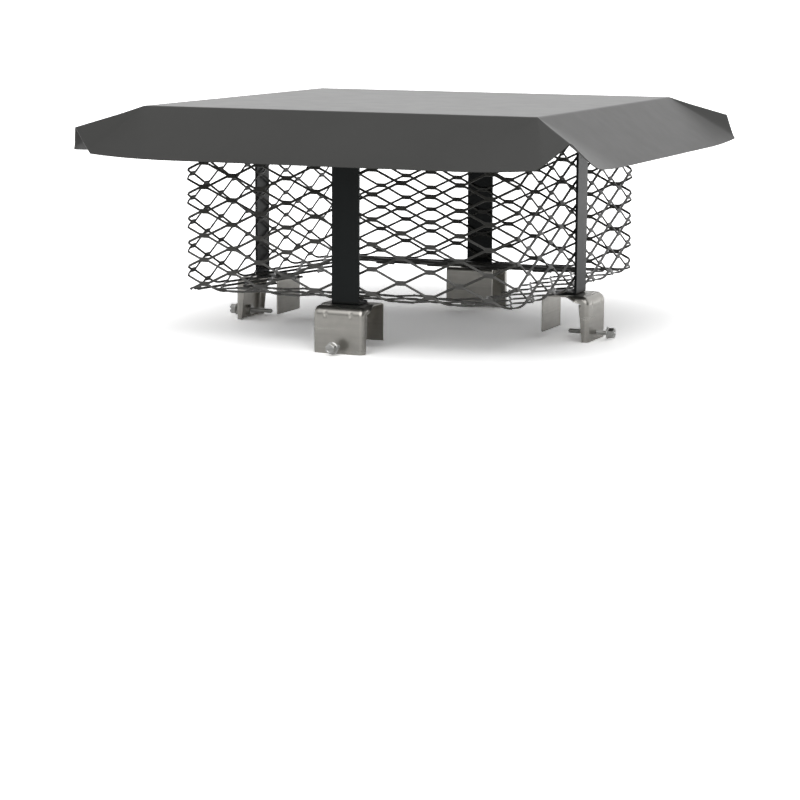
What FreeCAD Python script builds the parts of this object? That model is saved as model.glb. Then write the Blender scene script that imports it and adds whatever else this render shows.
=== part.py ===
import FreeCAD, Part
import math
import os
import Sketcher

# Clamp-on cap for a single square flue tile, in millimetres, +Z up.
# The origin lies under the middle of the cap, level with the lower edges of the four clamps.
# A folded sheet hood stands on four flat legs. Each leg ends in a foot that is riveted to a
# clamp, which straddles the wall of the tile and is tightened on it by a set screw.
# A strip of expanded metal, folded into a box with its lower edge turned in, keeps birds out.

document = FreeCAD.newDocument("chimney_cap")
sheet = document.addObject("Spreadsheet::Sheet", "Sizes")

driving_sizes = (
    # The hood: a square blank with clipped corners, creased around its flat top
    ("OverallHeight", 237.0),
    ("HoodTopSide", 414.0),
    ("HoodSheet", 0.8),
    ("FlangeWidth", 80.8),
    ("FlangeSlope", 36.0),
    ("FlareStartAngle", 56.5),
    ("CornerClipDistance", 73.8),
    # The expanded metal screen, measured between the middles of its walls
    ("ScreenSide", 356.4),
    ("ScreenMetal", 2.0),
    ("ScreenSkirtWidth", 56.0),
    ("MeshColumns", 23.0),
    ("MeshRowPitch", 24.4),
    ("MeshStrandWidth", 2.8),
    ("MeshBondLength", 8.0),
    ("MeshBondWidth", 4.0),
    ("MeshColumnShift", 16.9),
    ("MeshRowShift", 21.2),
    # The legs: flat bar, with a tab under the hood and a foot on the clamp
    ("LegWidth", 29.0),
    ("LegMetal", 2.5),
    ("LegTabLength", 25.0),
    ("LegFootLength", 25.5),
    ("LegEndClip", 4.0),
    # The clamps: stainless strip bent over the wall of the tile
    ("ClampWidth", 54.0),
    ("ClampMetal", 1.5),
    ("ClampOverhang", 17.3),
    ("ClampGap", 47.0),
    ("ClampHeight", 46.5),
    ("ClampInnerDepth", 38.2),
    ("ClampOuterBendRadius", 7.5),
    ("ClampInnerBendRadius", 2.0),
    ("ClampLipDepth", 10.0),
    ("ClampLipRadius", 3.0),
    ("ClampLipTaper", 4.0),
    # The set screws, with a hexagon head on a washer face, and their weld nuts
    ("ScrewLength", 42.2),
    ("ScrewDiameter", 5.0),
    ("ScrewHeight", 7.5),
    ("ScrewStandOut", 12.0),
    ("WasherFaceDiameter", 12.4),
    ("WasherFaceThickness", 1.6),
    ("HeadFlats", 9.0),
    ("HeadHeight", 5.8),
    ("ScrewHoleClearance", 0.25),
    ("NutFlats", 9.5),
    ("NutThickness", 4.0),
    ("ThreadClearance", 0.05),
    # The rivets, set flush with the foot above and with the clamp below
    ("RivetDiameter", 4.8),
)

for row, (alias, number) in enumerate(driving_sizes, start=1):
    sheet.set("A%d" % row, alias)
    sheet.set("B%d" % row, str(number))
    sheet.setAlias("B%d" % row, alias)
document.recompute()


class Size:
    """A number together with the spreadsheet expression that gives it."""

    def __init__(self, value, text):
        self.value = float(value)
        self.text = text

    def combine(self, other, sign, value):
        return Size(value, "(%s %s %s)" % (self.text, sign, other.text))

    def __add__(self, other):
        other = as_size(other)
        return self.combine(other, "+", self.value + other.value)

    def __sub__(self, other):
        other = as_size(other)
        return self.combine(other, "-", self.value - other.value)

    def __mul__(self, other):
        other = as_size(other)
        return self.combine(other, "*", self.value * other.value)

    def __truediv__(self, other):
        other = as_size(other)
        return self.combine(other, "/", self.value / other.value)

    def __neg__(self):
        return Size(-self.value, "(-1 * %s)" % self.text)


def as_size(thing):
    return thing if isinstance(thing, Size) else Size(thing, repr(float(thing)))


def size(alias):
    return Size(sheet.get(alias), "Sizes.%s" % alias)


def bind(feature, name, amount, unit="mm"):
    feature.setExpression(name, "(%s) * 1 %s" % (as_size(amount).text, unit))


# Places that several pieces share
hood_underside = size("OverallHeight") - size("HoodSheet")
screen_outside = size("ScreenSide") / 2 + size("ScreenMetal") / 2
leg_inside = screen_outside
leg_outside = leg_inside + size("LegMetal")
tab_underside = hood_underside - size("LegMetal")
foot_top = size("ClampHeight") + size("LegMetal")
clamp_outer_face = leg_outside + size("ClampOverhang")
clamp_outer_back = clamp_outer_face - size("ClampMetal")
clamp_inner_face = clamp_outer_back - size("ClampGap")
clamp_inner_back = clamp_inner_face - size("ClampMetal")
clamp_underside = size("ClampHeight") - size("ClampMetal")
outer_bend = size("ClampOuterBendRadius") + size("ClampMetal")
inner_bend = size("ClampInnerBendRadius") + size("ClampMetal")
rivet_grip = size("LegMetal") + size("ClampMetal")
rivet_reach = leg_outside - size("LegFootLength") / 2
screw_tip = clamp_outer_face + size("ScrewStandOut") - size("ScrewLength")

# Each side of the cap is the +X side turned about the vertical axis
sides = (("right", 0.0), ("back", 90.0), ("left", 180.0), ("front", 270.0))
VERTICAL = FreeCAD.Vector(0, 0, 1)

nodes = []


def turned(angle, x=0.0, y=0.0, z=0.0):
    """The placement that carries a piece made for the +X side to its own side."""
    turn = FreeCAD.Rotation(VERTICAL, angle)
    return FreeCAD.Placement(turn.multVec(FreeCAD.Vector(x, y, z)), turn)


def new_body(label):
    body = document.addObject("PartDesign::Body", label)
    body.Label = label
    nodes.append(body)
    return body


def new_sketch(body, name, plane, height=None):
    """A sketch on one of the body's own origin planes, lifted off it if a height is given."""
    sketch = body.newObject("Sketcher::SketchObject", name)
    support = [f for f in body.Origin.OriginFeatures if f.Role == plane][0]
    sketch.AttachmentSupport = [(support, "")]
    sketch.MapMode = "FlatFace"
    if height is not None:
        bind(sketch, "AttachmentOffset.Base.z", height)
    return sketch


def flat_vector(across, up):
    return FreeCAD.Vector(as_size(across).value, as_size(up).value, 0)


def step_from(corner, other, distance):
    """The place at a distance from a corner, along the level or upright line to another."""
    across, up = corner
    way = flat_vector(*other[:2]) - flat_vector(across, up)
    if abs(way.x) > abs(way.y):
        return (across + distance * math.copysign(1, way.x), up)
    return (across, up + distance * math.copysign(1, way.y))


def outline_stations(corners):
    """The ends of an outline's lines and arcs, each with the radius and middle of an arc from it."""
    stations = []
    for index, corner in enumerate(corners):
        if len(corner) == 2:
            stations.append((corner, None, None))
            continue
        square = (as_size(corner[0]), as_size(corner[1]))
        radius = as_size(corner[2])
        start = step_from(square, corners[index - 1], radius)
        end = step_from(square, corners[(index + 1) % len(corners)], radius)
        middle = flat_vector(*start) + flat_vector(*end) - flat_vector(*square)
        stations.append((start, radius, middle))
        stations.append((end, None, None))
    return stations


def draw_outline(sketch, corners):
    """A closed outline. A corner is (across, up), or (across, up, radius) to round a square one."""
    stations = outline_stations(corners)
    ends = []
    for index, (place, radius, middle) in enumerate(stations):
        start = flat_vector(*place)
        end = flat_vector(*stations[(index + 1) % len(stations)][0])
        if radius is None:
            number = sketch.addGeometry(Part.LineSegment(start, end), False)
            ends.append((number, 1, 2))
            continue
        circle = Part.Circle(middle, VERTICAL, radius.value)
        from_angle, to_angle = [math.atan2(p.y - middle.y, p.x - middle.x) for p in (start, end)]
        leftward = (start - middle).cross(end - middle).z > 0
        if not leftward:
            from_angle, to_angle = to_angle, from_angle
        number = sketch.addGeometry(Part.ArcOfCircle(circle, from_angle, to_angle), False)
        ends.append((number, 1, 2) if leftward else (number, 2, 1))
        sketch_number = sketch.addConstraint(Sketcher.Constraint("Radius", number, radius.value))
        bind(sketch, "Constraints[%d]" % sketch_number, radius)
    for index, (number, _, last) in enumerate(ends):
        following, first, _ = ends[(index + 1) % len(ends)]
        sketch.addConstraint(Sketcher.Constraint("Coincident", number, last, following, first))
    for (place, _, _), (number, first, _) in zip(stations, ends):
        for kind, amount in zip(("DistanceX", "DistanceY"), place):
            constraint = Sketcher.Constraint(kind, -1, 1, number, first, as_size(amount).value)
            bind(sketch, "Constraints[%d]" % sketch.addConstraint(constraint), amount)


def draw_circle(sketch, across, up, radius):
    centre = FreeCAD.Vector(as_size(across).value, as_size(up).value, 0)
    circle = sketch.addGeometry(Part.Circle(centre, VERTICAL, as_size(radius).value), False)
    for kind, amount in (("DistanceX", across), ("DistanceY", up)):
        constraint = Sketcher.Constraint(kind, -1, 1, circle, 3, as_size(amount).value)
        bind(sketch, "Constraints[%d]" % sketch.addConstraint(constraint), amount)
    constraint = Sketcher.Constraint("Radius", circle, as_size(radius).value)
    bind(sketch, "Constraints[%d]" % sketch.addConstraint(constraint), radius)


def add_feature(body, kind, name, profile, length=None, symmetric=False, reverse=False):
    """A pad or pocket of a sketch, as long as the size says."""
    feature = body.newObject("PartDesign::" + kind, name)
    feature.Profile = profile
    profile.Visibility = False
    if symmetric:
        feature.SideType = "Symmetric"
    feature.Reversed = reverse
    bind(feature, "Length", length)
    return feature


def add_turning(body, kind, name, profile, axis):
    """A full revolution or groove about an axis of its own sketch."""
    feature = body.newObject("PartDesign::" + kind, name)
    feature.Profile = profile
    profile.Visibility = False
    feature.ReferenceAxis = (profile, [axis])
    feature.Angle = 360
    return feature


ACROSS_SIDE = FreeCAD.Vector(0, 1, 0)
OUTWARD = FreeCAD.Vector(1, 0, 0)


# The hood
def hood_corner(angle_of_slope, start_angle):
    """The rulings of one half of a hip corner: a cone from the flat flange to the hip.

    The blank's corner isn't cut through, so the sheet bends up there along a cone whose apex is
    the corner of the flat top. A ruling is named by its angle from the crease in the flat blank.
    The cone's half angle is the one that brings the blank's diagonal into the mitre plane.
    """
    crease = FreeCAD.Vector(0, -1, 0)
    outward = FreeCAD.Vector(math.cos(angle_of_slope), 0, -math.sin(angle_of_slope))
    normal = FreeCAD.Vector(math.sin(angle_of_slope), 0, math.cos(angle_of_slope))
    first = crease * math.cos(start_angle) + outward * math.sin(start_angle)

    def turn_about_cone(half_angle, angle, vector):
        axis = first * math.cos(half_angle) + normal * math.sin(half_angle)
        degrees = math.degrees((angle - start_angle) / math.sin(half_angle))
        return FreeCAD.Rotation(axis, degrees).multVec(vector)

    def miss(half_angle):
        hip = turn_about_cone(half_angle, HIP_ANGLE, first)
        return hip.x - hip.y

    low, high = math.radians(45), math.radians(89.9)
    for _ in range(60):
        middle = (low + high) / 2
        if miss(middle) * miss(high) > 0:
            high = middle
        else:
            low = middle
    half_angle = (low + high) / 2

    def ruling(angle):
        return turn_about_cone(half_angle, angle, first)

    def face_normal(angle):
        return turn_about_cone(half_angle, angle, normal)

    return ruling, face_normal


HIP_ANGLE = math.radians(135)
FLARE_STATIONS = 9
CLIP_STATIONS = 5


def mirrored(points):
    return [FreeCAD.Vector(p.x, -p.y, p.z) for p in points]


def quad(corners):
    return Part.Face(Part.makePolygon(corners + corners[:1]))


def triangle_fan(apex, edge):
    """The faces between a corner and each stretch of an edge."""
    return [quad([apex, first, second]) for first, second in zip(edge, edge[1:])]


def edge_strip(upper, lower):
    """The cut edge of a sheet between its upper and lower face."""
    faces = []
    for index in range(len(upper) - 1):
        faces.append(quad([upper[index], upper[index + 1], lower[index]]))
        faces.append(quad([upper[index + 1], lower[index + 1], lower[index]]))
    return faces


def hood_shape():
    half = size("HoodTopSide").value / 2
    metal = size("HoodSheet").value
    width = size("FlangeWidth").value
    clip = size("CornerClipDistance").value
    slope = math.radians(size("FlangeSlope").value)
    start_angle = math.radians(size("FlareStartAngle").value)
    ruling, face_normal = hood_corner(slope, start_angle)
    flange_corner_angle = math.pi - math.atan2(width, clip * math.sqrt(2) - width)
    shift = metal * math.tan(slope / 2)
    apex = FreeCAD.Vector(half, half, 0)
    lower_apex = FreeCAD.Vector(half - shift, half - shift, -metal)

    def spread(first, last, count):
        return [first + (last - first) * index / (count - 1) for index in range(count)]

    flare = spread(start_angle, flange_corner_angle, FLARE_STATIONS)
    upper_flare = [apex + ruling(angle) * (width / math.sin(angle)) for angle in flare]
    lower_flare = [p - face_normal(angle) * metal for p, angle in zip(upper_flare, flare)]
    corner = spread(flange_corner_angle, HIP_ANGLE, CLIP_STATIONS)
    upper_clip = [apex + ruling(angle) * (clip / math.cos(HIP_ANGLE - angle)) for angle in corner]
    own_normal = face_normal(HIP_ANGLE)
    other_normal = FreeCAD.Vector(own_normal.y, own_normal.x, own_normal.z)
    hip_offset = (own_normal + other_normal) * (metal / (1 + own_normal.dot(other_normal)))
    first_offset = face_normal(flange_corner_angle) * metal
    shares = spread(0.0, 1.0, CLIP_STATIONS)
    lower_clip = [p - first_offset * (1 - share) - hip_offset * share
                  for p, share in zip(upper_clip, shares)]

    upper_edge = upper_flare + upper_clip[1:]
    lower_edge = lower_flare + lower_clip[1:]
    faces = []
    for flip in (list, mirrored):
        top, under = flip([apex, lower_apex])
        faces += triangle_fan(top, flip(upper_edge)) + triangle_fan(under, flip(lower_edge))
        faces += edge_strip(flip(upper_edge), flip(lower_edge))
    upper_start = upper_flare[0]
    lower_start = lower_flare[0]
    faces.append(quad([apex, upper_start] + mirrored([upper_start, apex])))
    faces.append(quad([lower_apex, lower_start] + mirrored([lower_start, lower_apex])))
    faces.append(quad([upper_start, lower_start] + mirrored([lower_start, upper_start])))

    side = Part.Compound(faces)
    all_faces = []
    for _, angle in sides:
        copy = side.copy()
        copy.rotate(FreeCAD.Vector(0, 0, 0), VERTICAL, angle)
        all_faces += copy.Faces
    turns = [FreeCAD.Rotation(VERTICAL, angle) for _, angle in sides]
    all_faces.append(quad([turn.multVec(apex) for turn in turns]))
    all_faces.append(quad([turn.multVec(lower_apex) for turn in turns]))
    shell = Part.makeShell(all_faces)
    shell.sewShape()
    solid = Part.makeSolid(shell)
    if solid.Volume < 0:
        solid.reverse()
    return solid


def new_part(label, shape, placement):
    part = document.addObject("Part::Feature", label)
    part.Label = label
    part.Shape = shape
    part.Placement = placement
    nodes.append(part)
    return part


top_level = FreeCAD.Vector(0, 0, size("OverallHeight").value)
new_part("hood", hood_shape(), FreeCAD.Placement(top_level, FreeCAD.Rotation()))


# The expanded metal screen
def mesh_opening(centre_along, centre_up):
    """One opening between four strands and four bonds, as a face in the flat strip."""
    column_pitch = 4 * size("ScreenSide").value / size("MeshColumns").value
    rise = size("MeshRowPitch").value / 2
    bond = size("MeshBondLength").value
    slope = rise / (column_pitch / 2 - bond)
    strand = size("MeshStrandWidth").value / 2 * math.sqrt(1 + slope * slope)
    tip = bond / 2 + (rise - strand) / slope
    height = rise - size("MeshBondWidth").value / 2
    corners = [(tip, 0), (0, height), (-tip, 0), (0, -height)]
    return quad([FreeCAD.Vector(0, centre_along + across, centre_up + up) for across, up in corners])


def mesh_openings(strip_start, lowest, highest):
    """The openings that reach one side's stretch of the strip, between two heights."""
    side = size("ScreenSide").value
    column_step = 2 * side / size("MeshColumns").value
    row_pitch = size("MeshRowPitch").value
    first_bond = size("MeshColumnShift").value
    first_row = size("MeshRowShift").value
    first_column = math.floor((strip_start - first_bond) / column_step) - 1
    last_column = math.ceil((strip_start + side - first_bond) / column_step) + 1
    openings = []
    for column in range(first_column, last_column + 1):
        along = first_bond + column * column_step - strip_start - side / 2
        offset = first_row + (column % 2) * row_pitch / 2
        first = math.floor((lowest - offset) / row_pitch)
        last = math.ceil((highest - offset) / row_pitch)
        for row in range(first, last + 1):
            openings.append(mesh_opening(along, offset + row * row_pitch))
    return Part.Compound(openings)


def screen_side(strip_start):
    """The solids of one side: its wall, which runs on over one corner, and its mitred skirt."""
    half = size("ScreenSide").value / 2
    metal = size("ScreenMetal").value
    height = tab_underside.value - foot_top.value
    skirt = size("ScreenSkirtWidth").value
    inner = half - metal / 2
    outer = half + metal / 2

    outline = [(-inner, 0), (outer, 0), (outer, height), (-inner, height)]
    wall = quad([FreeCAD.Vector(inner, along, up) for along, up in outline])
    openings = mesh_openings(strip_start, 0.0, height)
    openings.translate(OUTWARD * inner)
    wall = wall.cut(openings).extrude(OUTWARD * metal)

    edge = inner - skirt
    outline = [(inner, -inner), (inner, inner), (edge, edge), (edge, -edge)]
    flat = quad([FreeCAD.Vector(across, along, 0) for across, along in outline])
    openings = mesh_openings(strip_start, -skirt, 0.0)
    openings.rotate(FreeCAD.Vector(0, 0, 0), ACROSS_SIDE, 90)
    openings.translate(OUTWARD * half)
    flat = flat.cut(openings).extrude(VERTICAL * metal)
    return wall.Solids + flat.Solids


def screen_shape():
    """All four sides in one piece, without the snippets that a cut along an edge sets free."""
    solids = []
    for number, angle in enumerate((270.0, 0.0, 90.0, 180.0)):
        for solid in screen_side(number * size("ScreenSide").value):
            solid.rotate(FreeCAD.Vector(0, 0, 0), VERTICAL, angle)
            solids.append(solid)
    joined = solids[0].fuse(solids[1:])
    return max(joined.Solids, key=lambda solid: solid.Volume)


screen_floor = FreeCAD.Vector(0, 0, foot_top.value)
new_part("mesh_screen", screen_shape(), FreeCAD.Placement(screen_floor, FreeCAD.Rotation()))


# The legs
def cut_rivet_hole(body):
    hole = new_sketch(body, "RivetHoleCircle", "XY_Plane", foot_top)
    draw_circle(hole, rivet_reach, 0, size("RivetDiameter") / 2)
    return add_feature(body, "Pocket", "RivetHole", hole, rivet_grip)


def add_leg(name, angle):
    body = new_body("leg_" + name)
    tab_end = leg_outside - size("LegTabLength")
    foot_end = leg_outside - size("LegFootLength")
    profile = new_sketch(body, "BarProfile", "XZ_Plane")
    draw_outline(profile, [
        (foot_end, size("ClampHeight")),
        (leg_outside, size("ClampHeight"), size("LegMetal")),
        (leg_outside, hood_underside, size("LegMetal")),
        (tab_end, hood_underside),
        (tab_end, tab_underside),
        (leg_inside, tab_underside),
        (leg_inside, foot_top),
        (foot_end, foot_top),
    ])
    add_feature(body, "Pad", "Bar", profile, size("LegWidth"), symmetric=True)
    half = size("LegWidth") / 2
    corner = size("LegEndClip")
    for end, level, label in ((tab_end, tab_underside, "Tab"), (foot_end, size("ClampHeight"), "Foot")):
        corners = new_sketch(body, label + "Corners", "XY_Plane", level)
        for side in (-1, 1):
            draw_outline(corners, [
                (end, half * side),
                (end, (half - corner) * side),
                (end + corner, half * side),
            ])
        add_feature(body, "Pocket", label + "Clipped", corners, size("LegMetal"), reverse=True)
    cut_rivet_hole(body)
    body.Placement = turned(angle)
    return body


# The clamps
def add_clamp(name, angle):
    body = new_body("clamp_bracket_" + name)
    outer = clamp_outer_face
    top = size("ClampHeight")
    inner_bottom = top - size("ClampInnerDepth")
    profile = new_sketch(body, "StrapProfile", "XZ_Plane")
    draw_outline(profile, [
        (outer, 0),
        (outer, top, outer_bend),
        (clamp_inner_back, top, inner_bend),
        (clamp_inner_back, inner_bottom),
        (clamp_inner_face, inner_bottom),
        (clamp_inner_face, clamp_underside, size("ClampInnerBendRadius")),
        (clamp_outer_back, clamp_underside, size("ClampOuterBendRadius")),
        (clamp_outer_back, 0),
    ])
    add_feature(body, "Pad", "Strap", profile, size("ClampWidth"), symmetric=True)

    # Both edges of the outer plate are bent back into lips, which run out under the bend
    edge = size("ClampWidth") / 2
    lip_radius = size("ClampLipRadius") + size("ClampMetal")
    lip_top = clamp_underside - size("ClampOuterBendRadius")
    notch = new_sketch(body, "LipNotches", "YZ_Plane", outer)
    for side in (-1, 1):
        draw_outline(notch, [
            (edge * side, 0),
            (edge * side, lip_top),
            ((edge - lip_radius) * side, lip_top),
            ((edge - lip_radius) * side, 0),
        ])
    add_feature(body, "Pocket", "LipNotch", notch, size("ClampMetal"))
    lips = new_sketch(body, "LipSections", "XY_Plane")
    lip_end = clamp_outer_back - size("ClampLipDepth")
    for side in (-1, 1):
        draw_outline(lips, [
            (outer, (edge - lip_radius * 2) * side),
            (outer, edge * side, lip_radius),
            (lip_end, edge * side),
            (lip_end, (edge - size("ClampMetal")) * side),
            (clamp_outer_back, (edge - size("ClampMetal")) * side, size("ClampLipRadius")),
            (clamp_outer_back, (edge - lip_radius * 2) * side),
        ])
    add_feature(body, "Pad", "Lips", lips, lip_top)
    tapers = new_sketch(body, "LipTapers", "XZ_Plane")
    draw_outline(tapers, [(lip_end, 0), (lip_end + size("ClampLipTaper"), 0), (lip_end, lip_top)])
    add_feature(body, "Pocket", "LipTaper", tapers, size("ClampWidth"), symmetric=True)

    # The hole for the set screw
    hole = new_sketch(body, "ScrewHoleCircle", "YZ_Plane", outer)
    draw_circle(hole, 0, size("ScrewHeight"), size("ScrewDiameter") / 2 + size("ScrewHoleClearance"))
    add_feature(body, "Pocket", "ScrewHole", hole, size("ClampMetal"))
    cut_rivet_hole(body)
    body.Placement = turned(angle)
    return body


# The set screws and their nuts
def hexagon(flats):
    """The corners of a hexagon, with two of its flats upright."""
    steps = [math.radians(30 + 60 * index) for index in range(6)]
    reach = flats / math.sqrt(3)
    return [(reach * math.cos(step), reach * math.sin(step)) for step in steps]


def add_set_screw(name, angle):
    body = new_body("set_screw_" + name)
    radius = size("ScrewDiameter") / 2
    under_head = size("ScrewLength")
    face_end = under_head + size("WasherFaceThickness")
    shank = new_sketch(body, "ShankProfile", "XZ_Plane")
    draw_outline(shank, [
        (0, 0),
        (0, radius),
        (under_head, radius),
        (under_head, size("WasherFaceDiameter") / 2),
        (face_end, size("WasherFaceDiameter") / 2),
        (face_end, 0),
    ])
    add_turning(body, "Revolution", "ShankAndWasherFace", shank, "H_Axis")
    head = new_sketch(body, "HeadHexagon", "YZ_Plane", face_end)
    draw_outline(head, hexagon(size("HeadFlats")))
    add_feature(body, "Pad", "Head", head, size("HeadHeight"))
    body.Placement = turned(angle, screw_tip.value, 0, size("ScrewHeight").value)
    return body


def add_nut(name, angle):
    body = new_body("weld_nut_" + name)
    outline = new_sketch(body, "NutHexagon", "YZ_Plane")
    draw_outline(outline, hexagon(size("NutFlats")))
    add_feature(body, "Pad", "Nut", outline, size("NutThickness"))
    bore = new_sketch(body, "NutBoreCircle", "YZ_Plane")
    draw_circle(bore, 0, 0, size("ScrewDiameter") / 2 + size("ThreadClearance"))
    add_feature(body, "Pocket", "NutBore", bore, size("NutThickness"), reverse=True)
    back = clamp_outer_back - size("NutThickness")
    body.Placement = turned(angle, back.value, 0, size("ScrewHeight").value)
    return body


def add_rivet(name, angle):
    body = new_body("rivet_" + name)
    outline = new_sketch(body, "RivetCircle", "XY_Plane")
    draw_circle(outline, 0, 0, size("RivetDiameter") / 2)
    add_feature(body, "Pad", "Rivet", outline, rivet_grip)
    body.Placement = turned(angle, rivet_reach.value, 0, clamp_underside.value)
    return body


for name, angle in sides:
    add_leg(name, angle)
    add_clamp(name, angle)
    add_set_screw(name, angle)
    add_nut(name, angle)
    add_rivet(name, angle)

document.recompute()

for thing in document.Objects:
    if "Invalid" in thing.State or "Error" in thing.State:
        raise ValueError("%s failed: %s" % (thing.Label, thing.State))
for node in nodes:
    shape = node.Shape
    if shape.isNull() or not shape.isValid() or len(shape.Solids) != 1:
        raise ValueError("%s is not one valid solid" % node.Label)

os.makedirs("parts", exist_ok=True)
for node in nodes:
    node.Shape.exportStep(os.path.join("parts", node.Label + ".step"))
    print("%-24s %10.1f mm3" % (node.Label, node.Shape.Volume))
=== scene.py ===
import bpy
import bmesh
import math
import numpy as np
from mathutils import Matrix, Vector


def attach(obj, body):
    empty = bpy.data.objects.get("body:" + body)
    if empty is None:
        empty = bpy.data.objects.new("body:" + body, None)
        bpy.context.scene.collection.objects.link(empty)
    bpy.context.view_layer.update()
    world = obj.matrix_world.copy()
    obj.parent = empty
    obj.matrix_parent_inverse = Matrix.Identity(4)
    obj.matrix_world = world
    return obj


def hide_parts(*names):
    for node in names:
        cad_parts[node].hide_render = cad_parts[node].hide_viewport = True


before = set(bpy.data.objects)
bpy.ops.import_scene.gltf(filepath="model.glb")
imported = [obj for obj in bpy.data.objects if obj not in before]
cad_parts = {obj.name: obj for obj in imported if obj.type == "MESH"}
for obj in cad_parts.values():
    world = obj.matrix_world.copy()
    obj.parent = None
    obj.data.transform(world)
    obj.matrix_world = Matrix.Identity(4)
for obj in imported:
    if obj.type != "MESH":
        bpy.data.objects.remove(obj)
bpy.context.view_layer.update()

# Sizes in millimetres, as in the CAD model
MM = 0.001
SIDES = (("right", 0.0), ("back", 90.0), ("left", 180.0), ("front", 270.0))

# The hood's sheet, its bent corners and how finely they are divided
HOOD_TOP = 237.0
HOOD_HALF = 207.0
HOOD_SHEET = 0.8
FLANGE_WIDTH = 80.8
FLANGE_SLOPE = math.radians(36.0)
CORNER_CLIP = 73.8
HIP_ANGLE = math.radians(135.0)
BEND_START = math.radians(50.0)
FOLD_ANGLE = math.radians(110.0)
FOLD_SPREAD = math.radians(3.5)
FOLD_END = FOLD_ANGLE + 2.4 * FOLD_SPREAD
FOLD_SHARE = 0.5
MOST_BEND = math.radians(60.0)
CREASE = 2.2
INNER_CREASE = CREASE * 0.7
HIP_ROUNDING = 2.6
HIP_GAP_SHARE = 0.8
TRACE_STEPS = 540
HALVINGS = 40
BEND_COLUMNS = 20
FOLD_COLUMNS = 12
HIP_COLUMNS = 3
CREASE_ROWS = 5
FLANGE_ROWS = 6
HOOD_SHARP = 55.0

# The expanded metal: the folded sheet, the pattern of its meshes, and its strands
STRIP_SIDE = 356.4
MESH_PLANE = 176.7
MESH_FLOOR = 49.0
MESH_HEIGHT = 184.4
SKIRT_PLANE = 51.3
SKIRT_WIDTH = 56.0
MITRE_GAP = 0.6
TOP_GAP = 0.8
FOLD_RADIUS = 3.5
CORNER_RADIUS = 2.5
COLUMN_STEP = 2 * STRIP_SIDE / 23
ROW_PITCH = 24.4
COLUMN_SHIFT = 18.9
ROW_SHIFT = 9.0
BOND_LENGTH = 8.0
STRAND_WIDTH = 2.3
STRAND_METAL = 1.35
STRAND_TILT = math.radians(24.0)
STRAND_EASE = 0.045
WAVE_HEIGHT = 0.35
WAVE_SPAN = 348.4
WAVES_IN_SPAN = 3
WAVE_LEAN = 0.05
WAVE_RISE = 0.034
WAVE_START = 0.6
STATIONS = 2400
FIRST_STATION = 0.2
CHORD_MISS = 0.05
LONGEST_CHORD = 120
SHORTEST_RUN = 3
MESH_SHARP = 35.0

# The clamps' strap, its lips and its dents
CLAMP_OUT = 199.0
CLAMP_TOP = 46.5
CLAMP_METAL = 1.5
CLAMP_HALF = 27.0
CLAMP_BEND = 9.0
CLAMP_INNER_BEND = 3.5
CLAMP_INNER_BACK = 149.0
CLAMP_INNER_BOTTOM = 8.3
CLAMP_EDGE = 0.25
CLAMP_SHARP = math.radians(50.0)
LIP_BEND = 3.75
LIP_FLAT = 4.5
LIP_AT_FOOT = 2.2
LIP_AT_BEND = 6.2
LIP_LOSS = 2.0
LIP_AT_TOP = 3.06
LIP_OPENING = 16.0
DENT_PLACE = 13.5
DENT_LEVEL = 38.0
DENT_WIDTH = 1.3
DENT_HEIGHT = 2.0
DENT_DEPTH = 1.1
DENT_END = 9.0
OUTER_ROWS = 36
BEND_ROWS = 12
TOP_ROWS = 34
INNER_BEND_ROWS = 6
INNER_ROWS = 24
FLAT_COLUMNS = 24
LIP_BEND_COLUMNS = 7
LIP_COLUMNS = 6

# The set screws: shank, washer face and slotted head
SCREW_TIP = 168.8
SCREW_HEIGHT = 7.5
SCREW_RADIUS = 2.5
SCREW_STAND_OUT = 12.0
SCREW_SHARP = 30.0
THREAD_PITCH = 1.4
THREAD_DEPTH = 0.5
THREAD_FLAT = 0.12
THREAD_SUNK = 0.2
THREAD_STEPS = 32
RINGS_IN_TURN = 8
TIP_SHARE = 0.45
TIP_TAPER = 1.2
WASHER_FACE = 1.6
WASHER_PROFILE = ((0.0, 5.9), (0.15, 6.15), (0.5, 6.2), (1.1, 6.0), (1.6, 5.2))
WASHER_STEPS = 48
HEAD_FLATS = 9.0
HEAD_HEIGHT = 5.8
HEAD_CROWN = 4.3
HEAD_CHAMFER = math.radians(32.0)
HEAD_SUNK = 0.7
HEAD_STEPS = 72
DISH_RIM = 0.8
DISH_FLOOR = 0.68
DISH_DEPTH = 0.4
SLOT_WIDTH = 1.6
SLOT_DEPTH = 1.7
SLOT_TILT = 4.0
CUTTER_REACH = 9.0
CUTTER_ABOVE = 2.0

# Lengths and turns below which two places or directions count as one
WELD_DISTANCE = 1e-7
SAME_PLACE = 1e-4
SAME_TURN = 1e-9
TINY_GAP = 1e-6
TINY_TURN = 1e-4

# Paint and metal: the scales of their noise, and how far it reaches
CLOUD_SCALE = 14.0
GLOSS_SCALE = 45.0
GLOSS_RANGE = 0.015
COARSE_SCALE = 60.0
COARSE_SHARE = 0.2
COARSE_HEIGHT = 0.0004
PEEL_SCALE = 1400.0
PEEL_HEIGHT = 0.00006
LINE_SCALE = 60.0
LINE_HEIGHT = 0.00005
LINE_ROUGHER = 0.07
LINE_SMOOTHER = 0.05
PATCH_SCALE = 90.0

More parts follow.
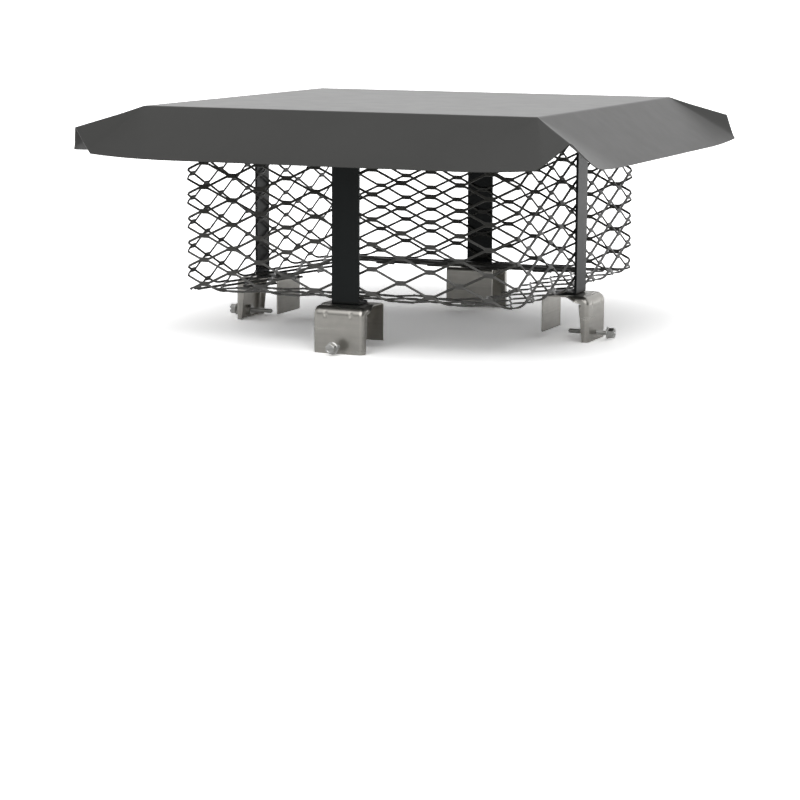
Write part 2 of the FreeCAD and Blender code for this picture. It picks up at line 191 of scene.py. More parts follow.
# The sky's lobes (direction, where each begins and is full, weight) and the soft boxes
SKY = (
    ((0.0, 0.0, 1.0), 0.35, 1.0, 0.48),
    ((0.0, 1.0, 0.0), 0.50, 0.98, 0.90),
    ((-0.39, 0.90, 0.17), 0.86, 0.98, 0.50),
    ((-1.0, 0.0, 0.0), 0.2, 0.9, 0.70),
    ((0.20, -0.72, 0.66), 0.70, 0.93, 1.90),
    ((0.80, 0.50, 0.33), 0.80, 0.97, 0.60),
)
LAMPS = (((0.3, 0.8, 2.6), 2.4, 6.0),)
LAMP_TARGET = (0.0, 0.0, 0.1)

# The floor in metres, its tones, and how bright the camera and reflections see it
FLOOR_REACH = 120.0
FLOOR_DARK = (0.88, 0.88, 0.88)
FLOOR_LIGHT = (0.90, 0.90, 0.90)
FLOOR_CLOUDS = 3.0
FLOOR_SEEN = 0.9
FLOOR_REFLECTED = 0.8
FLOOR_REFLECTED_FROM = 0.3
FLOOR_REFLECTED_TO = 1.2
FLOOR_WHITE = (2.0, 2.0, 2.0)

# The camera of the photo, in metres and degrees
CAMERA_PLACE = (0.9859, -2.3477, 0.3710)
CAMERA_YAW = math.radians(23.165)
CAMERA_PITCH = math.radians(9.992)
CAMERA_ROLL = math.radians(0.290)
CAMERA_LENS = 109.97
CAMERA_SENSOR = 36.0


# Making pieces
def new_mesh(name, points, faces, smooth=True):
    mesh = bpy.data.meshes.new(name)
    mesh.from_pydata([tuple(p) for p in points], [], [tuple(f) for f in faces])
    mesh.update()
    mesh.validate()
    piece = bpy.data.objects.new(name, mesh)
    bpy.context.scene.collection.objects.link(piece)
    for polygon in mesh.polygons:
        polygon.use_smooth = smooth
    return piece


def recalculated(piece):
    """Welds the piece's double points and turns its faces outward."""
    work = bmesh.new()
    work.from_mesh(piece.data)
    bmesh.ops.remove_doubles(work, verts=work.verts, dist=WELD_DISTANCE)
    bmesh.ops.recalc_face_normals(work, faces=work.faces)
    work.to_mesh(piece.data)
    work.free()
    return piece


def sharp_over(piece, degrees):
    """Marks the edges that turn by more than an angle, so that the rest shades smoothly."""
    work = bmesh.new()
    work.from_mesh(piece.data)
    limit = math.radians(degrees)
    for edge in work.edges:
        edge.smooth = not (len(edge.link_faces) == 2 and edge.calc_face_angle() > limit)
    work.to_mesh(piece.data)
    work.free()
    return piece


def applied(piece):
    """Bakes the piece's modifiers into its mesh."""
    graph = bpy.context.evaluated_depsgraph_get()
    mesh = bpy.data.meshes.new_from_object(piece.evaluated_get(graph), depsgraph=graph)
    piece.modifiers.clear()
    piece.data = mesh
    return piece


def place(piece, angle):
    """Turns a piece that was made on the right side to its own side."""
    piece.matrix_world = Matrix.Rotation(math.radians(angle), 4, "Z")
    return piece


def settle(piece, material, slot, *nodes):
    """Gives a piece its material and body, and hides the CAD nodes that it takes the place of. The slot is
    not used.
    """
    piece.data.materials.clear()
    piece.data.materials.append(material)
    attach(piece, "root")
    if nodes:
        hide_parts(*nodes)


# Materials
def node_tree(name):
    material = bpy.data.materials.new(name)
    material.use_nodes = True
    tree = material.node_tree
    return material, tree, tree.nodes["Principled BSDF"]


def noise(tree, scale, detail=3.0, stretch=None, roughness=0.5):
    coordinates = tree.nodes.new("ShaderNodeTexCoord")
    texture = tree.nodes.new("ShaderNodeTexNoise")
    texture.inputs["Scale"].default_value = scale
    texture.inputs["Detail"].default_value = detail
    texture.inputs["Roughness"].default_value = roughness
    source = coordinates.outputs["Object"]
    if stretch:
        mapping = tree.nodes.new("ShaderNodeMapping")
        mapping.inputs["Scale"].default_value = stretch
        tree.links.new(source, mapping.inputs["Vector"])
        source = mapping.outputs["Vector"]
    tree.links.new(source, texture.inputs["Vector"])
    return texture.outputs["Fac"]


def ramp(tree, source, low, high, from_low=0.3, from_high=0.7):
    spread = tree.nodes.new("ShaderNodeMapRange")
    spread.inputs["From Min"].default_value = from_low
    spread.inputs["From Max"].default_value = from_high
    spread.inputs["To Min"].default_value = low
    spread.inputs["To Max"].default_value = high
    tree.links.new(source, spread.inputs["Value"])
    return spread.outputs["Result"]


def combined(tree, operation, first, second):
    """One value node over two sources."""
    node = tree.nodes.new("ShaderNodeMath")
    node.operation = operation
    tree.links.new(first, node.inputs[0])
    tree.links.new(second, node.inputs[1])
    return node.outputs[0]


def blend_colours(tree, source, first, second):
    mix = tree.nodes.new("ShaderNodeMix")
    mix.data_type = "RGBA"
    mix.inputs[6].default_value = (*first, 1.0)
    mix.inputs[7].default_value = (*second, 1.0)
    tree.links.new(source, mix.inputs[0])
    return mix.outputs[2]


def add_bump(tree, source, strength, distance, under=None):
    bump = tree.nodes.new("ShaderNodeBump")
    bump.inputs["Strength"].default_value = strength
    bump.inputs["Distance"].default_value = distance
    tree.links.new(source, bump.inputs["Height"])
    if under is not None:
        tree.links.new(under, bump.inputs["Normal"])
    return bump.outputs["Normal"]


def rounded_edges(tree, radius):
    bevel = tree.nodes.new("ShaderNodeBevel")
    bevel.samples = 4
    bevel.inputs["Radius"].default_value = radius
    return bevel.outputs["Normal"]


def paint(name, dark, light, roughness, peel, edges=None, specular=0.5):
    """Satin paint with a fine orange peel, faint cloudiness and uneven gloss."""
    material, tree, shader = node_tree(name)
    cloud = noise(tree, CLOUD_SCALE, 4.0)
    colour = blend_colours(tree, ramp(tree, cloud, 0.0, 1.0), dark, light)
    tree.links.new(colour, shader.inputs["Base Color"])
    gloss = noise(tree, GLOSS_SCALE, 5.0, roughness=0.6)
    uneven = ramp(tree, gloss, roughness - GLOSS_RANGE, roughness + GLOSS_RANGE)
    tree.links.new(uneven, shader.inputs["Roughness"])
    shader.inputs["Specular IOR Level"].default_value = specular
    normal = rounded_edges(tree, edges) if edges else None
    coarse = add_bump(tree, noise(tree, COARSE_SCALE, 2.0), peel * COARSE_SHARE, COARSE_HEIGHT, normal)
    fine = add_bump(tree, noise(tree, PEEL_SCALE, 2.0), peel, PEEL_HEIGHT, coarse)
    tree.links.new(fine, shader.inputs["Normal"])
    return material


def metal(name, dark, light, roughness, streaks, streak_bump, edges=None):
    """Bare metal with fine drawn or rolled lines and uneven gloss."""
    material, tree, shader = node_tree(name)
    shader.inputs["Metallic"].default_value = 1.0
    lines = noise(tree, LINE_SCALE, 6.0, stretch=streaks, roughness=0.65)
    patches = noise(tree, PATCH_SCALE, 3.0)
    mixed = combined(tree, "MULTIPLY", ramp(tree, lines, 0.4, 1.0), ramp(tree, patches, 0.6, 1.0))
    colour = blend_colours(tree, mixed, dark, light)
    tree.links.new(colour, shader.inputs["Base Color"])
    uneven = ramp(tree, lines, roughness + LINE_ROUGHER, roughness - LINE_SMOOTHER)
    tree.links.new(uneven, shader.inputs["Roughness"])
    normal = rounded_edges(tree, edges) if edges else None
    tree.links.new(add_bump(tree, lines, streak_bump, LINE_HEIGHT, normal), shader.inputs["Normal"])
    return material


HOOD_PAINT = paint("hood_paint", (0.028, 0.028, 0.026), (0.032, 0.032, 0.030), 0.37, 0.06)
MESH_PAINT = paint("mesh_paint", (0.044, 0.044, 0.040), (0.060, 0.059, 0.054), 0.32, 0.20)
BAR_PAINT = paint("bar_paint", (0.004, 0.006, 0.006), (0.007, 0.009, 0.009), 0.34, 0.12, 0.0004, 0.20)
STAINLESS = metal("stainless_strip", (0.36, 0.35, 0.325), (0.53, 0.515, 0.48), 0.30, (1.0, 0.06, 2.4), 0.22)
ZINC = metal("zinc_screw", (0.38, 0.38, 0.37), (0.70, 0.70, 0.68), 0.28, (0.5, 1.0, 1.0), 0.12)
RIVET = metal("rivet_metal", (0.40, 0.40, 0.40), (0.62, 0.62, 0.61), 0.34, (1.0, 1.0, 1.0), 0.10, 0.0003)


# The hood: a creased blank whose corners bend along straight rulings from the crease's ends
def bend_share(angle):
    """How much of a corner's bend lies near one ruling: an even part and a soft fold."""
    even = (angle > BEND_START) / (HIP_ANGLE - BEND_START)
    fold = math.exp(-((angle - FOLD_ANGLE) / FOLD_SPREAD) ** 2) / (FOLD_SPREAD * math.sqrt(math.pi))
    return (1 - FOLD_SHARE) * even + FOLD_SHARE * fold


def traced_corner(bend):
    """Rulings and face normals at even steps from the crease to the hip, for one total bend."""
    ruling = Vector((0, -1, 0))
    outward = Vector((math.cos(FLANGE_SLOPE), 0, -math.sin(FLANGE_SLOPE)))
    normal = Vector((math.sin(FLANGE_SLOPE), 0, math.cos(FLANGE_SLOPE)))
    step = HIP_ANGLE / TRACE_STEPS
    rulings = [ruling]
    normals = [normal]
    for number in range(TRACE_STEPS):
        spun = Matrix.Rotation(step, 3, normal)
        ruling = (spun @ ruling).normalized()
        outward = spun @ outward
        fold = Matrix.Rotation(bend * bend_share((number + 0.5) * step) * step, 3, ruling)
        outward = fold @ outward
        normal = (fold @ normal).normalized()
        rulings.append(ruling)
        normals.append(normal)
    return rulings, normals


def bent_corner():
    """The corner whose last ruling lies on the mitre between two flanges."""
    low = 0.0
    high = MOST_BEND
    for _ in range(HALVINGS):
        middle = (low + high) / 2
        hip = traced_corner(middle)[0][-1]
        if hip.x < hip.y:
            low = middle
        else:
            high = middle
    return traced_corner((low + high) / 2)


def rounded_row(first, corner, last, share):
    """A point on the rounding between two faces that meet in a corner."""
    return first * (1 - share) ** 2 + corner * (2 * share * (1 - share)) + last * share ** 2


def hood_angles(flange_corner):
    """Ruling angles of the columns: close together where the sheet folds."""
    first = [BEND_START + (flange_corner - BEND_START) * i / BEND_COLUMNS for i in range(BEND_COLUMNS + 1)]
    fold = [flange_corner + (FOLD_END - flange_corner) * i / FOLD_COLUMNS for i in range(1, FOLD_COLUMNS + 1)]
    return first + fold + [(FOLD_END + HIP_ANGLE) / 2, HIP_ANGLE]


def hood_surface(rulings, normals, offset, crease):
    """One face of the sheet from the crease's end to the hip, as columns from the top to the edge."""
    flange_corner = math.pi - math.atan2(FLANGE_WIDTH, CORNER_CLIP * math.sqrt(2) - FLANGE_WIDTH)
    own = normals[-1]
    other = Vector((own.y, own.x, own.z))
    hip_offset = (own + other) * (offset / (1 + own.dot(other)))
    shift = offset * math.tan(FLANGE_SLOPE / 2)
    apex = Vector((HOOD_HALF - shift, HOOD_HALF - shift, -offset))
    true_apex = Vector((HOOD_HALF, HOOD_HALF, 0))
    inset = apex + Vector((-crease, -crease, 0))
    columns = []
    for angle in hood_angles(flange_corner):
        number = round(angle / HIP_ANGLE * TRACE_STEPS)
        ruling = rulings[number]
        under = normals[number] * offset
        if angle <= flange_corner + SAME_TURN:
            reach = FLANGE_WIDTH / math.sin(angle)
        else:
            reach = CORNER_CLIP / math.cos(HIP_ANGLE - angle)
            share = (angle - flange_corner) / (HIP_ANGLE - flange_corner)
            under = under * (1 - share) + hip_offset * share
        edge = true_apex + ruling * reach - under
        way = (edge - apex).normalized()
        flange = apex + way * (crease / math.sin(BEND_START))
        column = [rounded_row(inset, apex, flange, j / CREASE_ROWS) for j in range(CREASE_ROWS + 1)]
        columns.append(column + [flange.lerp(edge, j / FLANGE_ROWS) for j in range(1, FLANGE_ROWS + 1)])
    return columns[:-1] + rounded_hip(columns[-2], columns[-1])


def rounded_hip(before, hip):
    """Columns over the hip's rounding, as far as the mitre."""
    columns = [[] for _ in range(HIP_COLUMNS + 1)]
    for near, corner in zip(before, hip):
        gap = near - corner
        start = corner
        if gap.length > TINY_GAP:
            start = corner + gap.normalized() * min(HIP_ROUNDING, HIP_GAP_SHARE * gap.length)
        beyond = Vector((start.y, start.x, start.z))
        for number in range(HIP_COLUMNS + 1):
            columns[number].append(rounded_row(start, corner, beyond, number / (2 * HIP_COLUMNS)))
    return columns


def ring_of_columns(half_columns):
    """Columns for the whole ring, from one half corner, by mirroring and turning."""
    ring = []
    for _, angle in SIDES:
        turn = Matrix.Rotation(math.radians(angle), 3, "Z")
        lower = [[Vector((p.x, -p.y, p.z)) for p in column] for column in reversed(half_columns)]
        for column in lower + half_columns:
            ring.append([turn @ p for p in column])
    cleaned = []
    for column in ring:
        if cleaned and (column[-1] - cleaned[-1][-1]).length < SAME_PLACE:
            continue
        cleaned.append(column)
    if (cleaned[0][-1] - cleaned[-1][-1]).length < SAME_PLACE:
        cleaned.pop()
    return cleaned


def build_hood():
    rulings, normals = bent_corner()
    upper = ring_of_columns(hood_surface(rulings, normals, 0.0, CREASE))
    lower = ring_of_columns(hood_surface(rulings, normals, HOOD_SHEET, INNER_CREASE))
    count = len(upper)
    depth = len(upper[0])
    last = depth - 1
    points = []
    for column in upper + lower:
        points += [(p + Vector((0, 0, HOOD_TOP))) * MM for p in column]

    def number(layer, column, row):
        return layer * count * depth + (column % count) * depth + row

    faces = []
    for column in range(count):
        beside = column + 1
        for row in range(last):
            faces.append([number(0, column, row), number(0, column, row + 1),
                          number(0, beside, row + 1), number(0, beside, row)])
            faces.append([number(1, column, row), number(1, beside, row),
                          number(1, beside, row + 1), number(1, column, row + 1)])
        faces.append([number(0, column, last), number(1, column, last),
                      number(1, beside, last), number(0, beside, last)])
    faces.append([number(0, column, 0) for column in range(count)])
    faces.append([number(1, column, 0) for column in reversed(range(count))])
    piece = new_mesh("hood_sheet", points, faces)
    recalculated(piece)
    sharp_over(piece, HOOD_SHARP)
    weighted = piece.modifiers.new("flat_faces", "WEIGHTED_NORMAL")
    weighted.keep_sharp = True
    weighted.weight = 100
    return piece


settle(build_hood(), HOOD_PAINT, "painted_hood", "hood")


# The expanded metal: continuous strands that meet edge to edge at the bonds
def zigzag(s, even_low):
    """Share of the way from a strand's low bond height to its high one, at a place along it."""
    place_in = (s - COLUMN_SHIFT) / COLUMN_STEP
    if not even_low:
        place_in -= 1
    phase = place_in - 2 * np.floor(place_in / 2)
    distance = np.minimum(phase, 2 - phase) * COLUMN_STEP
    share = np.clip((distance - BOND_LENGTH / 2) / (COLUMN_STEP - BOND_LENGTH), 0, 1)
    ease = STRAND_EASE
    eased = np.where(share < 2 * ease, share ** 2 / (4 * ease), share - ease)
    eased = np.where(share > 1 - 2 * ease, 1 - 2 * ease - (1 - share) ** 2 / (4 * ease), eased)
    return np.clip(eased / (1 - 2 * ease), 0, 1)


def map_strip(s, h, n):
    """Carries places in the flat strip onto the folded box. Also says which are cut away."""
    side = np.floor(s / STRIP_SIDE).astype(int)
    along = (s - side * STRIP_SIDE - STRIP_SIDE / 2) * (2 * MESH_PLANE / STRIP_SIDE)
    to_corner = MESH_PLANE - np.abs(along)
    fold = h - (SKIRT_PLANE - MESH_FLOOR)
    r = FOLD_RADIUS
    phi = -math.pi / 4 + np.clip(fold / r, -1, 1) * math.pi / 4
    out = np.where(fold >= r, MESH_PLANE + n, MESH_PLANE - r + (r + n) * np.cos(phi))
    up = np.where(fold >= r, MESH_FLOOR + h, SKIRT_PLANE + r + (r + n) * np.sin(phi))
    out = np.where(fold <= -r, MESH_PLANE + fold, out)
    up = np.where(fold <= -r, SKIRT_PLANE - n, up)
    r = CORNER_RADIUS
    theta = np.clip(to_corner / r, 0, 1) * math.pi / 4
    centre = MESH_PLANE - r
    reach = out - centre
    arc_out = centre + reach * np.cos(math.pi / 4 - theta)
    arc_along = centre + reach * np.sin(math.pi / 4 - theta)
    rounded = (to_corner < r) & (out > centre)
    x = np.where(rounded, arc_out, out)
    y = np.where(rounded, np.sign(along) * arc_along, along)
    turn = np.radians(270.0 + 90.0 * side)
    turned_x = x * np.cos(turn) - y * np.sin(turn)
    turned_y = x * np.sin(turn) + y * np.cos(turn)
    cut = (fold <= -FOLD_RADIUS) & (np.abs(along) > out - MITRE_GAP)
    return np.stack([turned_x, turned_y, up], axis=-1), cut


def strand(base, even_low):
    """Sections of one strand all the way round, each as its four corners, and where it is cut."""
    s = np.linspace(0, 4 * STRIP_SIDE, STATIONS + 1)[:-1] + FIRST_STATION
    share = zigzag(s, even_low)
    tilt_h = math.cos(STRAND_TILT)
    tilt_n = -math.sin(STRAND_TILT)
    half = STRAND_WIDTH / 2
    offset = half * (1 - 2 * share)
    along_wave = np.sin(s * 2 * math.pi / WAVE_SPAN * WAVES_IN_SPAN + base * WAVE_LEAN)
    wave = WAVE_HEIGHT * along_wave * np.sin(base * WAVE_RISE + WAVE_START)
    h = base + ROW_PITCH / 2 * share + offset * tilt_h
    n = offset * tilt_n + wave
    tangent = np.stack([np.ones_like(s), np.gradient(h, s), np.gradient(n, s)], axis=-1)
    tangent /= np.linalg.norm(tangent, axis=1, keepdims=True)
    width = np.array([0.0, tilt_h, tilt_n])
    normal = np.cross(tangent, width)
    normal /= np.linalg.norm(normal, axis=1, keepdims=True)
    corners = []
    cuts = (h > MESH_HEIGHT - TOP_GAP) | (h < -SKIRT_WIDTH)
    for across, through in ((-1, -1), (1, -1), (1, 1), (-1, 1)):
        step = width * (across * half) + normal * (through * STRAND_METAL / 2)
        points, cut = map_strip(s + step[:, 0], h + step[:, 1], n + step[:, 2])
        corners.append(points)
        cuts = cuts | cut
    return np.stack(corners, axis=1), cuts


def kept_stations(sections):
    """The stations that a strand can't do without, by repeated splitting of its chords."""
    flat = sections.reshape(len(sections), -1)
    keep = {0, len(flat) - 1}
    stack = [(0, len(flat) - 1)]
    while stack:
        first, last = stack.pop()
        if last - first < 2:
            continue
        share = np.linspace(0, 1, last - first + 1)[1:-1, None]
        chord = flat[first] * (1 - share) + flat[last] * share
        miss = np.abs(flat[first + 1:last] - chord).max(axis=1)
        worst = int(miss.argmax())
        if miss[worst] > CHORD_MISS:
            middle = first + 1 + worst
        elif last - first > LONGEST_CHORD:
            middle = (first + last) // 2
        else:
            continue
        keep.add(middle)
        stack += [(first, middle), (middle, last)]
    return sorted(keep)


def runs_of(cuts):
    """Stretches of a closed strand between its cut ends, and whether it stays closed."""
    count = len(cuts)
    if not cuts.any():
        return [list(range(count)) + [0]], True
    start = int(np.argmax(cuts))
    runs = []
    run = []
    for step in range(count + 1):
        number = (start + step) % count
        if not cuts[number]:
            run.append(number)
            continue
        if len(run) > SHORTEST_RUN:
            runs.append(run)
        run = []
    return runs, False


def build_mesh():
    points = []
    faces = []
    first_row = math.floor(-(SKIRT_WIDTH + ROW_SHIFT) / ROW_PITCH) - 1
    last_row = math.ceil(MESH_HEIGHT / ROW_PITCH) + 1
    for half_row in range(2 * first_row, 2 * last_row + 2):
        row, second = divmod(half_row, 2)
        base = ROW_SHIFT + row * ROW_PITCH + second * ROW_PITCH / 2
        sections, cuts = strand(base, second == 0)
        runs, closed = runs_of(cuts)
        for run in runs:
            part = sections[run]
            keep = kept_stations(part)
            start = len(points)
            for station in keep:
                points += [tuple(p * MM) for p in part[station]]
            for index in range(len(keep) - 1):
                a = start + 4 * index
                for edge in range(4):
                    b = (edge + 1) % 4
                    faces.append((a + edge, a + b, a + 4 + b, a + 4 + edge))
            if not closed:
                end = start + 4 * (len(keep) - 1)
                faces.append((start + 3, start + 2, start + 1, start))
                faces.append((end, end + 1, end + 2, end + 3))
    piece = new_mesh("expanded_metal", points, faces)
    recalculated(piece)
    sharp_over(piece, MESH_SHARP)
    return piece


settle(build_mesh(), MESH_PAINT, "black_mesh", "mesh_screen")


# The clamps: strip bent over the tile's wall, with its edges turned back beside the outer plate
def clamp_path():
    """The strap's middle line, from the outer plate's foot: places and the turn of the outward normal."""
    half = CLAMP_METAL / 2
    outer = CLAMP_OUT - half
    top = CLAMP_TOP - half
    inner = CLAMP_INNER_BACK + half
    big = CLAMP_BEND - half
    small = CLAMP_INNER_BEND - half
    stations = []
    for i in range(OUTER_ROWS):
        stations.append((outer, (top - big) * i / OUTER_ROWS, 0.0))
    for i in range(BEND_ROWS + 1):
        turn = math.pi / 2 * i / BEND_ROWS
        stations.append((outer - big + big * math.cos(turn), top - big + big * math.sin(turn), turn))
    for i in range(1, TOP_ROWS):
        x = outer - big + (inner + small - outer + big) * i / TOP_ROWS
        stations.append((x, top, math.pi / 2))
    for i in range(INNER_BEND_ROWS + 1):
        turn = math.pi / 2 * i / INNER_BEND_ROWS
        x = inner + small - small * math.sin(turn)
        z = top - small + small * math.cos(turn)
        stations.append((x, z, math.pi / 2 + turn))
    for i in range(1, INNER_ROWS + 1):
        z = top - small + (CLAMP_INNER_BOTTOM - top + small) * i / INNER_ROWS
        stations.append((inner, z, math.pi))
    return stations


def lip_shape(x, z, turn):
    """The lip's turn and its straight length beyond the turn, at one place of the strap."""
    if turn == 0.0:
        return math.pi / 2, LIP_AT_FOOT + (LIP_AT_BEND - LIP_AT_FOOT) * z / (CLAMP_TOP - CLAMP_BEND)
    if turn < math.pi / 2:
        return math.pi / 2, LIP_AT_BEND - LIP_LOSS * turn
    if turn > math.pi / 2:
        return 0.0, LIP_FLAT
    open_share = min(max((CLAMP_OUT - CLAMP_BEND - x) / LIP_OPENING, 0.0), 1.0)
    eased = open_share * open_share * (3 - 2 * open_share)
    return math.pi / 2 * (1 - eased), LIP_AT_TOP + (LIP_FLAT - LIP_AT_TOP) * eased


def half_section(lip_turn, straight):
    """Half of the strap's width: how far from its middle and how deep each place lies."""
    flat = CLAMP_HALF - LIP_FLAT
    section = [(flat * i / FLAT_COLUMNS, 0.0) for i in range(FLAT_COLUMNS + 1)]
    if lip_turn < TINY_TURN:
        count = LIP_BEND_COLUMNS + LIP_COLUMNS
        return section + [(flat + straight * i / count, 0.0) for i in range(1, count + 1)]
    for i in range(1, LIP_BEND_COLUMNS + 1):
        turned = lip_turn * i / LIP_BEND_COLUMNS
        section.append((flat + LIP_BEND * math.sin(turned), LIP_BEND * (1 - math.cos(turned))))
    last_y, last_depth = section[-1]
    for i in range(1, LIP_COLUMNS + 1):
        reach = straight * i / LIP_COLUMNS
        section.append((last_y + reach * math.cos(lip_turn), last_depth + reach * math.sin(lip_turn)))
    return section


def dent_depth(y, z, turn):
    """Depth of the two small pressed dents at the outer bend."""
    depth = 0.0
    if turn >= math.pi / 2:
        return depth
    for centre in (-DENT_PLACE, DENT_PLACE):
        gap = ((y - centre) / DENT_WIDTH) ** 2 + ((z - DENT_LEVEL) / DENT_HEIGHT) ** 2
        if gap < DENT_END:
            depth += DENT_DEPTH * math.exp(-gap)
    return depth


def build_clamp(name, angle):
    points = []
    for x, z, turn in clamp_path():
        normal = Vector((math.cos(turn), 0, math.sin(turn)))
        right_half = half_section(*lip_shape(x, z, turn))
        left_half = [(-y, depth) for y, depth in reversed(right_half[1:])]
        for y, depth in left_half + right_half:
            sunk = depth + dent_depth(y, z, turn)
            points.append((Vector((x, y, z)) - normal * sunk) * MM)
    width = 2 * len(right_half) - 1
    faces = []
    for row in range(len(points) // width - 1):
        for column in range(width - 1):
            a = row * width + column
            faces.append((a, a + 1, a + width + 1, a + width))
    piece = new_mesh("clamp_strip_" + name, points, faces)
    recalculated(piece)
    thick = piece.modifiers.new("thickness", "SOLIDIFY")
    thick.thickness = CLAMP_METAL * MM
    thick.offset = 0.0
    thick.use_even_offset = False
    applied(piece)
    soft = piece.modifiers.new("soft_edges", "BEVEL")
    soft.width = CLAMP_EDGE * MM
    soft.segments = 2
    soft.limit_method = "ANGLE"
    soft.angle_limit = CLAMP_SHARP
    applied(piece)
    for polygon in piece.data.polygons:
        polygon.use_smooth = True
    place(piece, angle)
    settle(piece, STAINLESS, "stainless_strip", "clamp_bracket_" + name)


# The set screws: thread, washer face and a slotted hexagon head, made along the X axis from the tip
def lathe_rings(rings):
    """Faces between rings of equal length, with both ends closed."""
    points = [p for ring in rings for p in ring]
    size = len(rings[0])
    faces = []
    for index in range(len(rings) - 1):
        for step in range(size):
            a = index * size + step
            b = index * size + (step + 1) % size
            faces.append((a, b, b + size, a + size))
    faces.append(tuple(reversed(range(size))))
    last = (len(rings) - 1) * size
    faces.append(tuple(last + step for step in range(size)))
    return points, faces


def ring_point(x, radius, angle):
    return Vector((x, radius * math.cos(angle), radius * math.sin(angle)))


def thread_rings(length):
    rings = []
    count = int(length / THREAD_PITCH * RINGS_IN_TURN)
    for index in range(count + 1):
        x = length * index / count
        taper = min(1.0, TIP_SHARE + (1 - TIP_SHARE) * x / TIP_TAPER)
        ring = []
        for step in range(THREAD_STEPS):
            angle = 2 * math.pi * step / THREAD_STEPS
            phase = (x / THREAD_PITCH - angle / (2 * math.pi)) % 1.0
            ridge = 1 - abs(2 * phase - 1)
            ridge = min(max((ridge - THREAD_FLAT) / (1 - 2 * THREAD_FLAT), 0.0), 1.0)
            ring.append(ring_point(x, (SCREW_RADIUS - THREAD_DEPTH * (1 - ridge)) * taper, angle))
        rings.append(ring)
    return rings


def washer_rings(base):
    rings = []
    for x, radius in WASHER_PROFILE:
        angles = [2 * math.pi * i / WASHER_STEPS for i in range(WASHER_STEPS)]
        rings.append([ring_point(base + x, radius, angle) for angle in angles])
    return rings


def hexagon_radius(angle):
    """Distance from the head's axis to the hexagon's side."""
    part = (angle + math.pi / 6) % (math.pi / 3) - math.pi / 6
    return HEAD_FLATS / 2 / math.cos(part)


def head_rings(base):
    """A hexagon with a chamfered crown and a shallow dish, standing on the washer face."""
    top = base + WASHER_FACE + HEAD_HEIGHT
    levels = [[] for _ in range(5)]
    for step in range(HEAD_STEPS):
        angle = 2 * math.pi * step / HEAD_STEPS
        radius = hexagon_radius(angle)
        shoulder = top - max(0.0, radius - HEAD_CROWN) * math.tan(HEAD_CHAMFER)
        levels[0].append(ring_point(base + WASHER_FACE * HEAD_SUNK, radius, angle))
        levels[1].append(ring_point(shoulder, radius, angle))
        levels[2].append(ring_point(top, min(radius, HEAD_CROWN), angle))
        levels[3].append(ring_point(top, HEAD_CROWN * DISH_RIM, angle))
        levels[4].append(ring_point(top - DISH_DEPTH, HEAD_CROWN * DISH_FLOOR, angle))
    return levels


def slotted(head, top):
    """Cuts the screwdriver slot across the head's crown."""
    half = SLOT_WIDTH / 2
    floor_and_top = (top - SLOT_DEPTH, top + CUTTER_ABOVE)
    ends = (-CUTTER_REACH, CUTTER_REACH)
    corners = [(x, y, z) for x in floor_and_top for y in ends for z in (-half, half)]
    faces = [(0, 1, 3, 2), (4, 6, 7, 5), (0, 4, 5, 1), (2, 3, 7, 6), (0, 2, 6, 4), (1, 5, 7, 3)]
    tilt = Matrix.Rotation(math.radians(SLOT_TILT), 3, "X")
    cutter = new_mesh("slot_cutter", [tilt @ Vector(c) * MM for c in corners], faces, False)
    recalculated(cutter)
    cut = head.modifiers.new("slot", "BOOLEAN")
    cut.operation = "DIFFERENCE"
    cut.solver = "EXACT"
    cut.object = cutter
    applied(head)
    bpy.data.objects.remove(cutter)
    return head


def build_screw(name, angle):
    under_head = CLAMP_OUT + SCREW_STAND_OUT - SCREW_TIP
    points, faces = lathe_rings(thread_rings(under_head + THREAD_SUNK))
    more_points, more_faces = lathe_rings(washer_rings(under_head))
    faces += [tuple(len(points) + i for i in face) for face in more_faces]
    points += more_points
    head_points, head_faces = lathe_rings(head_rings(under_head))
    head = new_mesh("screw_head", [p * MM for p in head_points], head_faces)
    slotted(recalculated(head), under_head + WASHER_FACE + HEAD_HEIGHT)
    faces += [tuple(len(points) + i for i in polygon.vertices) for polygon in head.data.polygons]
    points += [v.co / MM for v in head.data.vertices]
    bpy.data.objects.remove(head)
    shift = Vector((SCREW_TIP, 0, SCREW_HEIGHT))
    piece = new_mesh("threaded_screw_" + name, [(p + shift) * MM for p in points], faces)
    recalculated(piece)
    sharp_over(piece, SCREW_SHARP)
    place(piece, angle)
    settle(piece, ZINC, "zinc_screw", "set_screw_" + name)


for name, angle in SIDES:
    build_clamp(name, angle)
    build_screw(name, angle)
    for node, material in (("leg_" + name, BAR_PAINT), ("weld_nut_" + name, ZINC), ("rivet_" + name, RIVET)):
        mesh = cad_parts[node].data
        mesh.materials.clear()
        mesh.materials.append(material)


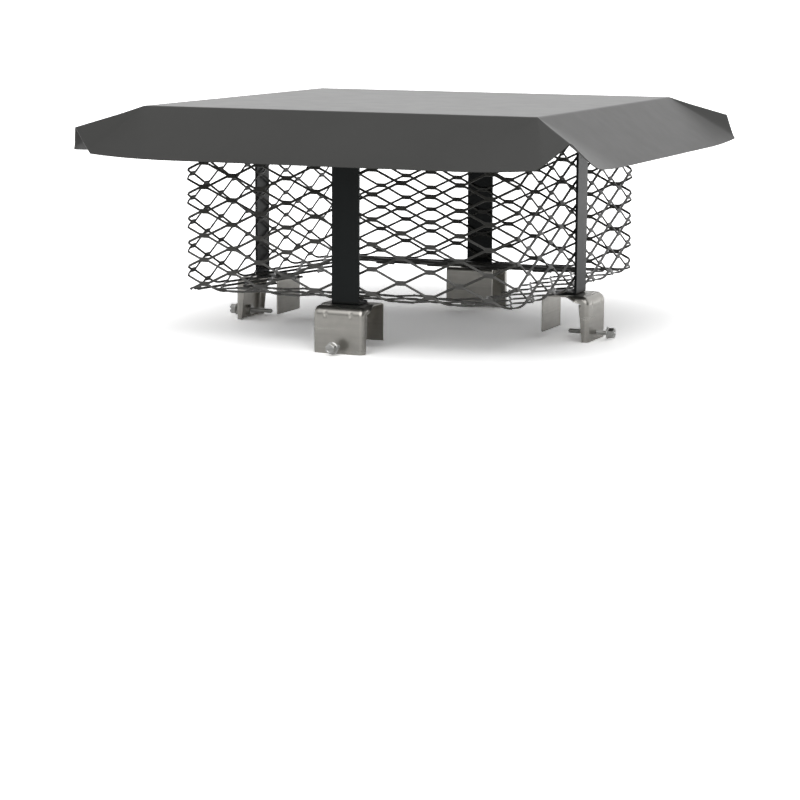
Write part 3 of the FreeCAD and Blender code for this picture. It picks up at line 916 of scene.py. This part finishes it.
# The floor: pale and diffuse, and seen white by the camera and by reflections of its far part
def floor_surface():
    material, tree, shader = node_tree("floor_white")
    clouds = ramp(tree, noise(tree, FLOOR_CLOUDS, 2.0), 0.0, 1.0)
    shade = blend_colours(tree, clouds, FLOOR_DARK, FLOOR_LIGHT)
    rays = tree.nodes.new("ShaderNodeLightPath")
    spot = tree.nodes.new("ShaderNodeSeparateXYZ")
    tree.links.new(tree.nodes.new("ShaderNodeTexCoord").outputs["Object"], spot.inputs["Vector"])
    far = ramp(tree, spot.outputs["Y"], 0.0, FLOOR_REFLECTED, FLOOR_REFLECTED_FROM, FLOOR_REFLECTED_TO)
    seen = tree.nodes.new("ShaderNodeMath")
    seen.operation = "MULTIPLY_ADD"
    tree.links.new(rays.outputs["Is Camera Ray"], seen.inputs[0])
    seen.inputs[1].default_value = FLOOR_SEEN
    tree.links.new(combined(tree, "MULTIPLY", rays.outputs["Is Glossy Ray"], far), seen.inputs[2])
    colour = blend_colours(tree, seen.outputs[0], FLOOR_LIGHT, FLOOR_WHITE)
    tree.links.new(shade, colour.node.inputs[6])
    tree.links.new(colour, shader.inputs["Base Color"])
    shader.inputs["Roughness"].default_value = 0.9
    shader.inputs["Specular IOR Level"].default_value = 0.1
    return material


CORNERS = ((-1, -1), (1, -1), (1, 1), (-1, 1))
floor = new_mesh("floor", [(FLOOR_REACH * x, FLOOR_REACH * y, 0) for x, y in CORNERS], [(0, 1, 2, 3)], False)
floor.data.materials.append(floor_surface())


# The light: a sky of soft lobes and the soft boxes
def sky_lobe(tree, way, direction, low, high, weight):
    """Light from around one direction, fading out smoothly."""
    facing = tree.nodes.new("ShaderNodeVectorMath")
    facing.operation = "DOT_PRODUCT"
    facing.inputs[1].default_value = direction
    tree.links.new(way, facing.inputs[0])
    spread = ramp(tree, facing.outputs["Value"], 0.0, weight, low, high)
    spread.node.interpolation_type = "SMOOTHSTEP"
    return spread


def soft_box(location, size, power):
    data = bpy.data.lights.new("soft_box", "AREA")
    data.shape = "RECTANGLE"
    data.size = size
    data.size_y = size
    data.energy = power
    lamp = bpy.data.objects.new("soft_box", data)
    lamp.location = location
    lamp.rotation_mode = "QUATERNION"
    lamp.rotation_quaternion = (Vector(LAMP_TARGET) - Vector(location)).to_track_quat("-Z", "Y")
    bpy.context.scene.collection.objects.link(lamp)


scene = bpy.context.scene
scene.world = bpy.data.worlds.new("studio")
scene.world.use_nodes = True
world_tree = scene.world.node_tree
background = world_tree.nodes["Background"]
world_way = world_tree.nodes.new("ShaderNodeTexCoord").outputs["Generated"]
sky = sky_lobe(world_tree, world_way, *SKY[0])
for lobe in SKY[1:]:
    sky = combined(world_tree, "ADD", sky, sky_lobe(world_tree, world_way, *lobe))
world_tree.links.new(sky, background.inputs["Color"])
background.inputs["Strength"].default_value = 1.0
for lamp_place, lamp_size, lamp_power in LAMPS:
    soft_box(lamp_place, lamp_size, lamp_power)

# The camera at the photo's angle
camera_data = bpy.data.cameras.new("photo_view")
camera_data.lens = CAMERA_LENS
camera_data.sensor_width = CAMERA_SENSOR
camera_data.clip_start = 0.05
camera_data.clip_end = 500.0
camera = bpy.data.objects.new("photo_view", camera_data)
ahead = Vector((-math.sin(CAMERA_YAW), math.cos(CAMERA_YAW), 0))
forward = ahead * math.cos(CAMERA_PITCH) - Vector((0, 0, math.sin(CAMERA_PITCH)))
level = Vector((math.cos(CAMERA_YAW), math.sin(CAMERA_YAW), 0))
upward = level.cross(forward)
right = level * math.cos(CAMERA_ROLL) + upward * math.sin(CAMERA_ROLL)
top = upward * math.cos(CAMERA_ROLL) - level * math.sin(CAMERA_ROLL)
turned = Matrix((right, top, -forward)).transposed().to_4x4()
camera.matrix_world = Matrix.Translation(CAMERA_PLACE) @ turned
scene.collection.objects.link(camera)
scene.camera = camera
scene.view_settings.view_transform = "Standard"
